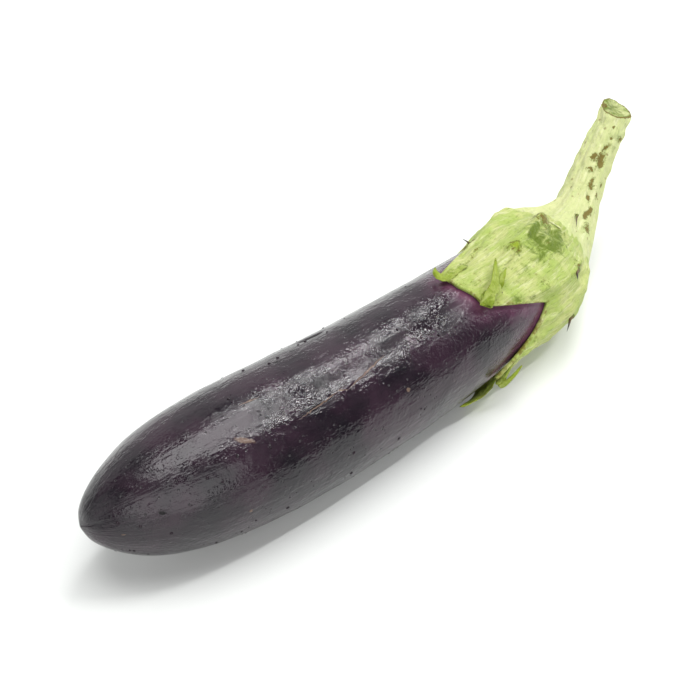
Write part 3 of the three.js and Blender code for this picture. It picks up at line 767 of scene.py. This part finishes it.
class EGGPLANT_OT_cap(bpy.types.Operator):
    """Makes the cap and its dried tips"""

    bl_idname = "eggplant.cap"
    bl_label = "Cap"

    rows = 118
    inner_rows = 12
    columns = 504

    def surface(self, plant, reach, degrees, outside):
        """The cap's skin at shares of the way to its edge: its points, and where they lie along and round."""
        edge = plant.edge_at(degrees) + 0.4 * ripples(np.radians(degrees), 0 * degrees, *WAVES["cap_edge"])
        s = FRUIT_LENGTH - (FRUIT_LENGTH - edge) * reach
        low, high = plant.cap_heights(s, degrees)
        turn = plant.leaning(s, degrees)
        if not outside:
            return plant.skin(s, turn, low), s, turn
        _, aside, _ = plant.lobe_at(degrees)
        veins = ripples(turn, s * 0.25, *WAVES["cap_veins"])
        lumps = ripples(turn, s, *WAVES["cap_lumps"])
        crumple = ripples(turn, s, *WAVES["cap_crumple"])
        groove = bell(1 - aside, 0.09) * smooth((s - 206) / 12)
        relief = painted(s, turn, *CAP_PAINT["relief"]) - 1.5 * facet(s, turn)
        relief = relief + 0.2 * veins + 0.4 * lumps + 0.16 * crumple - 0.35 * groove
        relief = relief * smooth((1 - reach) * 9) * smooth((FRUIT_LENGTH - s) / 8)
        margin = bell((1 - reach) * (FRUIT_LENGTH - edge) - 1.0, 1.1)
        return plant.skin(s, turn, high + relief + 0.28 * margin), s, turn

    def execute(self, context):
        sizes = context.scene.eggplant_sizes
        plant = Plant(sizes)
        degrees = (270 + 360 * np.arange(self.columns) / self.columns)[None, :]
        part = (np.arange(1, self.rows + 1) / self.rows)[:, None]
        outer, s, turn = self.surface(plant, part**1.6 * (1.6 - 0.6 * part), degrees, True)
        back = np.linspace(1, 0.12, self.inner_rows)[:, None]
        inner, inner_s, inner_turn = self.surface(plant, back, degrees, False)
        rings = np.concatenate([outer, inner])
        top = plant.centre(np.array(FRUIT_LENGTH + CAP_GAP + CAP_EDGE + plant.flesh))
        points, faces, corners = closed_grid(top, rings, plant.centre(np.array(FRUIT_LENGTH + CAP_GAP)))

        s, turn = np.concatenate([s, inner_s]), np.concatenate([turn, inner_turn])
        past = s - plant.edge_at(np.broadcast_to(degrees, s.shape))
        # the hollow facet beside the front rib is painted greener: partly its own colour, partly painted shade
        # on that side of the rib
        green = painted(s, turn, *CAP_PAINT["green"]) + 0.3 * facet(s, turn)
        fresh = painted(s, turn, *CAP_PAINT["fresh"]) + 0.3 * (np.arange(len(s)) >= self.rows)[:, None]
        brown = painted(s, turn, *CAP_PAINT["brown"])
        pieces = [(points, faces, chart_of(corners, s, turn), {
            "green": polar(np.clip(0.62 * green, 0, 0.7)), "fresh": polar(np.clip(fresh, 0, 1)),
            "brown": polar(np.clip(brown, 0, 1)), "margin": polar(bell(past, 1.4))})]
        for number, stations in enumerate(TIPS.values()):
            pieces.append(self.tip(plant, stations, sizes.tip_thickness / MM, number))
        points, faces, uv, fields = join_parts(pieces)
        material = tissue_material("calyx_flesh_downy", context.scene.eggplant_colours, 1.5, 0.3, 0.0)
        finish_piece(make_piece("cap", points, faces, material, uv, fields), "calyx")
        return {"FINISHED"}

    def tip(self, plant, stations, thick, number, steps=44, sides=20):
        """A tapering, twisting dry tip: a cupped oval section carried along a smooth curve."""
        rows = np.array(stations, float)
        knots = np.arange(len(rows))
        u = np.linspace(0, len(rows) - 1, steps)
        way = np.stack([spline(knots, rows[:, k], u) for k in range(5)], -1)
        middle = plant.skin(way[:, 0], np.radians(way[:, 1]), CAP_GAP + way[:, 2])
        along = np.gradient(middle, axis=0)
        along /= np.linalg.norm(along, axis=1)[:, None]
        out = plant.out(way[:, 0], np.radians(way[:, 1]))
        across = np.cross(along, out)
        across /= np.linalg.norm(across, axis=1)[:, None]
        square = np.cross(across, along)
        twist = np.radians(way[:, 4])[:, None]
        c, k = np.cos(twist), np.sin(twist)
        across, square = across * c + square * k, square * c - across * k
        turn = 2 * np.pi * np.arange(sides) / sides
        wavy = 1 + 0.09 * ripples(turn[None, :], u[:, None] * 9, TIP_SEED + number, *TIP_WAVES)
        side = np.maximum(way[:, 3], 0.05)[:, None] * np.cos(turn) * wavy
        taper = np.minimum(1, way[:, 3] / 1.2)[:, None]
        lift = thick / 2 * taper * np.sin(turn) * wavy + 0.16 * side**2 / np.maximum(way[:, 3], 0.4)[:, None]
        rib = 0.35 * bell(side, 0.5) * (np.sin(turn) > 0)
        raised = (lift + rib * taper)[..., None] * square[:, None]
        rings = middle[:, None] + side[..., None] * across[:, None] + raised
        points, faces, corners = closed_grid(middle[0], rings, middle[-1])
        length = np.concatenate([[0], np.cumsum(np.linalg.norm(np.diff(middle, axis=0), axis=1))])
        uv = [[(length[row] + 40 * number, side[row, column % sides]) for row, column in face]
              for face in corners]
        edge = np.abs(np.cos(turn))[None, :] ** 6 * np.ones_like(side)
        far = (length / length[-1])[:, None] * np.ones_like(side)
        fields = {"green": polar(0.5 + 0 * far), "fresh": polar(np.clip(0.25 + 0.65 * far, 0, 1)),
                  "brown": polar(0.6 * smooth((far - 0.86) / 0.14)), "margin": polar(0.6 * edge)}
        return points, faces, uv, fields


def spline(knots, values, at):
    """A smooth curve through values at whole knots (Catmull-Rom)."""
    ends = np.concatenate([[2 * values[0] - values[1]], values, [2 * values[-1] - values[-2]]])
    k = np.clip(np.floor(at).astype(int), 0, len(knots) - 2)
    t = at - k
    a, b, c, d = ends[k], ends[k + 1], ends[k + 2], ends[k + 3]
    return 0.5 * (2 * b + (c - a) * t + (2 * a - 5 * b + 4 * c - d) * t**2 + (3 * b - a - 3 * c + d) * t**3)


def join_parts(parts):
    """Several closed skins as the lists of one mesh, each turned outwards first."""
    points, faces, uv, fields, base = [], [], [], {}, 0
    for part_points, part_faces, part_uv, part_fields in parts:
        if signed_volume(part_points, part_faces) < 0:
            part_faces = [tuple(reversed(face)) for face in part_faces]
            part_uv = [tuple(reversed(face)) for face in part_uv]
        faces += [tuple(base + k for k in face) for face in part_faces]
        uv += part_uv
        points.append(part_points)
        base += len(part_points)
        for name, values in part_fields.items():
            fields.setdefault(name, []).append(values)
    return np.vstack(points), faces, uv, {name: np.concatenate(values) for name, values in fields.items()}


class EGGPLANT_OT_stem(bpy.types.Operator):
    """Makes the stem, with its flared foot and its cut"""

    bl_idname = "eggplant.stem"
    bl_label = "Stem"

    columns = 216
    foot_rows = 44
    shaft_rows = 110
    cut_steps = (0.985, 0.955, 0.91, 0.84, 0.74, 0.62, 0.48, 0.34, 0.2, 0.08)
    join_at = 267.0
    sunk_in_cap = 0.6

    def execute(self, context):
        plant = Plant(context.scene.eggplant_sizes)
        degrees = 270 + 360 * np.arange(self.columns) / self.columns
        angle = np.radians(degrees)
        turned = plant.leaning(np.full(self.columns, FRUIT_LENGTH), degrees)
        _, aside, _ = plant.lobe_at(degrees)

        def shaft(s):
            """A ring of the straight part, slanted more and more towards the cut."""
            part = (s - STEM_START) / (STEM_END - STEM_START)
            cut = CUT_SLANT * np.clip(part, 0, 1) ** 4 * np.cos(turned - CUT_FACES)
            uneven = 0.3 * ripples(angle, s * 0.3, *WAVES["stem_ribs"])
            uneven = uneven + 0.16 * ripples(angle, s, *WAVES["stem_grain"])
            uneven = uneven + 0.22 * bell(s + 2.0 * np.cos(turned - 2.6) - 301, 1.6) * np.cos(turned - 2.6)
            uneven = uneven + 0.5 * bell(s - 306, 3.0) * np.maximum(np.cos(turned - 2.9), 0)
            from_bud = np.mod(turned - 0.75 + np.pi, 2 * np.pi) - np.pi
            bud = 0.9 * bell(s - 291, 1.3) * bell(from_bud, 0.13)
            fuller = 1.7 * bell(s - 282, 17) * np.maximum(np.cos(turned - 0.2), 0)
            sway = 1.1 * smooth((s - 298) / 16) * np.cos(turned - 3.3)
            radius = plant.stem_radius(s, angle) + uneven * smooth((s - STEM_START) / 8) + bud + fuller + sway
            return plant.around(s - cut, turned, radius)

        def foot(s):
            """A ring just below the cap's surface."""
            height = plant.cap_heights(s, degrees)[1] - self.sunk_in_cap
            return plant.skin(s, plant.leaning(s, degrees), height)

        # each line of the foot leaves the cap along its surface and arrives along the shaft
        upper = bell(degrees - 420, 30)
        from_at = 240.0 - 5.0 * (1 - aside) ** 1.5 - 11.0 * upper
        begin, finish = foot(from_at), shaft(np.full(self.columns, self.join_at))
        leave = foot(from_at + 0.5) - begin
        arrive = finish - shaft(np.full(self.columns, self.join_at - 0.5))
        span = np.linalg.norm(finish - begin, axis=1)[:, None]
        leave *= (0.34 + 0.2 * upper)[:, None] * span / np.linalg.norm(leave, axis=1)[:, None]
        arrive *= 0.5 * span / np.linalg.norm(arrive, axis=1)[:, None]
        swell_out = plant.out(from_at, turned) * 2.8 * bell(degrees - 428, 34)[:, None]
        rings, along = [], []
        for t in np.linspace(0, 1, self.foot_rows, endpoint=False):
            curve = (1 - t) ** 3 * begin + 3 * (1 - t) ** 2 * t * (begin + leave)
            curve = curve + 3 * (1 - t) * t**2 * (finish - arrive) + t**3 * finish
            rings.append(curve + swell_out * math.sin(math.pi * t))
            along.append(from_at + (self.join_at - from_at) * t)
        for s in np.linspace(self.join_at, STEM_END, self.shaft_rows):
            rings.append(shaft(np.full(self.columns, s)))
            along.append(np.full(self.columns, s))
        rim = rings[-1]
        middle = rim.mean(0)
        axis = plant.tangent(np.array(STEM_END))
        for q in self.cut_steps:
            uneven = ripples(angle, np.full(self.columns, q * 30), *WAVES["cut_grain"])
            lift = 0.25 * smooth((1 - q) / 0.06) - 0.55 * smooth((1 - q) / 0.25) - 0.12 * uneven
            rings.append(middle + (rim - middle) * q + axis * lift[:, None])
            along.append(np.full(self.columns, STEM_END + (1 - q) * plant.stem))
        rings, along = np.array(rings), np.array(along)
        under = plant.centre(np.array(FRUIT_LENGTH + CAP_GAP + CAP_EDGE))
        points, faces, corners = closed_grid(under, rings, middle - 0.5 * axis)

        turn = np.broadcast_to(turned, along.shape)
        on_cut = smooth((along - STEM_END) / 0.3)
        flecks = painted(along, turn, [(0.95, *row) for row in STEM_FLECKS], arc=STEM_ARC)
        heart = spot(along, turn, STEM_END + 2.2, 25, 1.8, 3.5, 0, STEM_ARC)
        brown = np.clip(flecks * (1 - on_cut), 0, 1)
        brown = np.maximum(brown, 0.85 * bell(along - STEM_END - 0.25, 0.7))
        brown = np.maximum(brown, np.clip(1.2 * heart * on_cut, 0, 1))
        # the cut face is painted olive green and darker than the stem: partly its own colour, partly painted
        # shade for a face lying in shadow
        green = 0.4 * spot(along, turn, 303, 155, 12, 5, 0, STEM_ARC) + 0.5 * on_cut
        fields = {"green": polar(np.clip(green, 0, 1)), "fresh": polar(0.15 * on_cut), "brown": polar(brown),
                  "margin": polar(0 * along)}
        material = tissue_material("stem_green_cut", context.scene.eggplant_colours, 1.6, 0.5, 0.45)
        uv = chart_of(corners, along, turn, STEM_ARC)
        finish_piece(make_piece("stem_ribbed", points, faces, material, uv, fields), "stem")
        return {"FINISHED"}


class EGGPLANT_OT_prickles(bpy.types.Operator):
    """Makes the cap's prickles and the dry spine at the stem's foot"""

    bl_idname = "eggplant.prickles"
    bl_label = "Prickles"

    spine_at = 257.5
    spine_degrees = 113
    spine_aims = 150
    spine_length = 8.0
    spine_radius = 0.42

    def thorn(self, root, aim, droop, length, radius):
        """A swollen root that runs into a thin, slightly drooping point."""
        part = np.linspace(0, 1, 18)
        middle = root + aim * (length * part)[:, None] + droop * (0.16 * length * part**2)[:, None]
        wide = radius * (0.8 * (1 - part) ** 0.8 + 1.1 * bell(part, 0.14))
        wide = np.maximum(wide, 0.03)
        side = np.cross(aim, (0.0, 0.0, 1.0))
        side /= np.linalg.norm(side)
        up = np.cross(side, aim)
        turn = 2 * np.pi * np.arange(16) / 16
        ring = np.cos(turn)[:, None] * side + np.sin(turn)[:, None] * up
        rings = middle[:, None] + wide[:, None, None] * ring[None]
        points, faces, corners = closed_grid(middle[0], rings, middle[-1] + aim * 0.05)
        uv = [[(part[row], column / 5) for row, column in face] for face in corners]
        return points, faces, uv

    def execute(self, context):
        sizes = context.scene.eggplant_sizes
        plant = Plant(sizes)
        material = horn_material(context.scene.eggplant_colours)
        for name, node, s, degrees, lean, size in PRICKLES:
            at = np.array(float(s))
            turn = plant.leaning(at, np.array(float(degrees)))
            height = plant.cap_heights(at, np.array(float(degrees)))[1]
            root = plant.skin(at, turn, height + 0.1)
            aim = plant.out(at, turn) - lean * plant.tangent(at)
            aim /= np.linalg.norm(aim)
            points, faces, uv = self.thorn(root, aim, -plant.tangent(at), sizes.prickle_length / MM * size,
                                           sizes.prickle_radius / MM * size)
            finish_piece(make_piece(name, points, faces, material, uv), node)
        at = np.array(self.spine_at)
        turn = math.radians(self.spine_degrees)
        root = plant.around(at, turn, plant.stem_radius(at, turn) + 0.9)
        aim = 0.45 * plant.out(at, np.radians(self.spine_aims)) - plant.tangent(at)
        aim /= np.linalg.norm(aim)
        droop = plant.out(at, np.array(2.0))
        points, faces, uv = self.thorn(root, aim, droop, self.spine_length, self.spine_radius)
        finish_piece(make_piece("spine_on_stem", points, faces, material, uv))
        return {"FINISHED"}


class EGGPLANT_OT_beads(bpy.types.Operator):
    """Scatters small water beads over the skin"""

    bl_idname = "eggplant.beads"
    bl_label = "Water beads"

    def tree(self, material):
        tree = bpy.data.node_groups.new("water_beads", "GeometryNodeTree")
        face = tree.interface
        face.new_socket("Geometry", in_out="INPUT", socket_type="NodeSocketGeometry")
        for label, kind in (("Radius", "NodeSocketFloat"), ("Density", "NodeSocketFloat"),
                            ("Seed", "NodeSocketInt")):
            face.new_socket(label, in_out="INPUT", socket_type=kind)
        face.new_socket("Geometry", in_out="OUTPUT", socket_type="NodeSocketGeometry")
        given = add(tree, "NodeGroupInput", out=None)
        wet = add(tree, "GeometryNodeInputNamedAttribute", {"Name": "wet"}, out="Attribute",
                  data_type="FLOAT")
        density = add(tree, "ShaderNodeMath", (given["Density"], wet), operation="MULTIPLY")
        points = add(tree, "GeometryNodeDistributePointsOnFaces", {
            "Mesh": given["Geometry"], "Density": density, "Seed": given["Seed"]}, out=None)
        bead = add(tree, "GeometryNodeMeshUVSphere", {
            "Segments": 8, "Rings": 5, "Radius": given["Radius"]}, out="Mesh")
        size = add(tree, "FunctionNodeRandomValue", {"Min": 0.25, "Max": 1.0, "Seed": given["Seed"]}, out=1,
                   data_type="FLOAT")
        size = add(tree, "ShaderNodeMath", (size, 2.0), operation="POWER")
        flat = add(tree, "ShaderNodeMath", (size, 0.55), operation="MULTIPLY")
        scale = add(tree, "ShaderNodeCombineXYZ", (size, size, flat))
        placed = add(tree, "GeometryNodeInstanceOnPoints", {
            "Points": points["Points"], "Instance": bead, "Rotation": points["Rotation"], "Scale": scale})
        real = add(tree, "GeometryNodeRealizeInstances", (placed,))
        shaded = add(tree, "GeometryNodeSetShadeSmooth", (real,))
        coated = add(tree, "GeometryNodeSetMaterial", {"Geometry": shaded, "Material": material})
        add(tree, "NodeGroupOutput", {"Geometry": coated}, out=None)
        return tree

    def execute(self, context):
        sizes = context.scene.eggplant_sizes
        skin = bpy.data.objects["skin"]
        carrier = bpy.data.objects.new("bead_carrier", skin.data.copy())
        context.scene.collection.objects.link(carrier)
        modifier = carrier.modifiers.new("beads", "NODES")
        tree = self.tree(water_material())
        wanted = {"Radius": sizes.bead_radius, "Density": sizes.bead_density, "Seed": sizes.bead_seed}
        for item in tree.interface.items_tree:
            if item.in_out == "INPUT" and item.name in wanted:
                item.default_value = wanted[item.name]
        modifier.node_group = tree
        for item in tree.interface.items_tree:
            if item.in_out == "INPUT" and item.name in wanted:
                modifier[item.identifier] = wanted[item.name]
        context.view_layer.update()
        mesh = bpy.data.meshes.new_from_object(carrier.evaluated_get(context.evaluated_depsgraph_get()))
        if not mesh.polygons:
            raise RuntimeError("no water beads were made: the density is too low")
        mesh.name = "water_beads"
        bpy.data.objects.remove(carrier)
        for vertex in mesh.vertices:
            vertex.co.z = max(vertex.co.z, 0)
        piece = bpy.data.objects.new("water_beads", mesh)
        context.scene.collection.objects.link(piece)
        finish_piece(piece)
        return {"FINISHED"}


class EGGPLANT_OT_stage(bpy.types.Operator):
    """Makes the floor, the lights and the camera"""

    bl_idname = "eggplant.stage"
    bl_label = "Stage"

    def lamp(self, context, name, place, target, size, radiance):
        """A soft rectangular lamp whose strength is given as its radiance."""
        light = bpy.data.lights.new(name, "AREA")
        light.shape = "RECTANGLE"
        light.size, light.size_y = size
        light.energy = radiance * math.pi * size[0] * size[1]
        lamp = bpy.data.objects.new(name, light)
        context.scene.collection.objects.link(lamp)
        lamp.location = place
        lamp.rotation_euler = (Vector(target) - Vector(place)).to_track_quat("-Z", "Y").to_euler()

    def execute(self, context):
        scene = context.scene
        mesh = bpy.data.meshes.new("floor")
        half = FLOOR_HALF
        corners = [(-half, -half, 0), (half, -half, 0), (half, half, 0), (-half, half, 0)]
        mesh.from_pydata(corners, [], [(0, 1, 2, 3)])
        mesh.materials.append(floor_material(scene.eggplant_colours))
        floor = bpy.data.objects.new("floor", mesh)
        scene.collection.objects.link(floor)
        for row in LAMPS:
            self.lamp(context, *row)

        world = bpy.data.worlds.new("studio")
        scene.world = world
        world.use_nodes = True
        background = world.node_tree.nodes["Background"]
        background.inputs["Color"].default_value = (1.0, 1.0, 1.0, 1.0)
        background.inputs["Strength"].default_value = WORLD_LIGHT

        camera = bpy.data.cameras.new("camera")
        camera.lens = CAMERA_LENS
        camera.sensor_width = 36.0
        camera.clip_start = 0.01
        holder = bpy.data.objects.new("camera", camera)
        scene.collection.objects.link(holder)
        azimuth, elevation = math.radians(CAMERA_AZIMUTH), math.radians(CAMERA_ELEVATION)
        target = Vector((np.array(CAMERA_TARGET) + Plant(scene.eggplant_sizes).shift()) * MM)
        back = Vector((math.sin(azimuth) * math.cos(elevation), -math.cos(azimuth) * math.cos(elevation),
                       math.sin(elevation)))
        holder.location = target + back * CAMERA_DISTANCE
        holder.rotation_euler = back.to_track_quat("Z", "Y").to_euler()
        scene.camera = holder
        scene.view_settings.view_transform = "Standard"
        return {"FINISHED"}


class EGGPLANT_PT_panel(bpy.types.Panel):
    """Lists the eggplant's sizes, colours and steps"""

    bl_idname = "EGGPLANT_PT_panel"
    bl_label = "Eggplant"
    bl_space_type = "VIEW_3D"
    bl_region_type = "UI"
    bl_category = "Eggplant"

    def draw(self, context):
        for group in (context.scene.eggplant_sizes, context.scene.eggplant_colours):
            box = self.layout.box()
            for name in group.__annotations__:
                box.prop(group, name)
        for operator in OPERATORS:
            self.layout.operator(operator.bl_idname)


OPERATORS = (
    EGGPLANT_OT_fruit, EGGPLANT_OT_cap, EGGPLANT_OT_stem, EGGPLANT_OT_prickles, EGGPLANT_OT_beads,
    EGGPLANT_OT_stage,
)
CLASSES = (EggplantSizes, EggplantColours, *OPERATORS, EGGPLANT_PT_panel)


def register():
    for cls in CLASSES:
        bpy.utils.register_class(cls)
    bpy.types.Scene.eggplant_sizes = PointerProperty(type=EggplantSizes)
    bpy.types.Scene.eggplant_colours = PointerProperty(type=EggplantColours)


def unregister():
    del bpy.types.Scene.eggplant_colours
    del bpy.types.Scene.eggplant_sizes
    for cls in reversed(CLASSES):
        bpy.utils.unregister_class(cls)


def main():
    register()
    bpy.ops.eggplant.fruit()
    bpy.ops.eggplant.cap()
    bpy.ops.eggplant.stem()
    bpy.ops.eggplant.prickles()
    bpy.ops.eggplant.beads()
    bpy.ops.eggplant.stage()


if __name__ == "__main__":
    main()
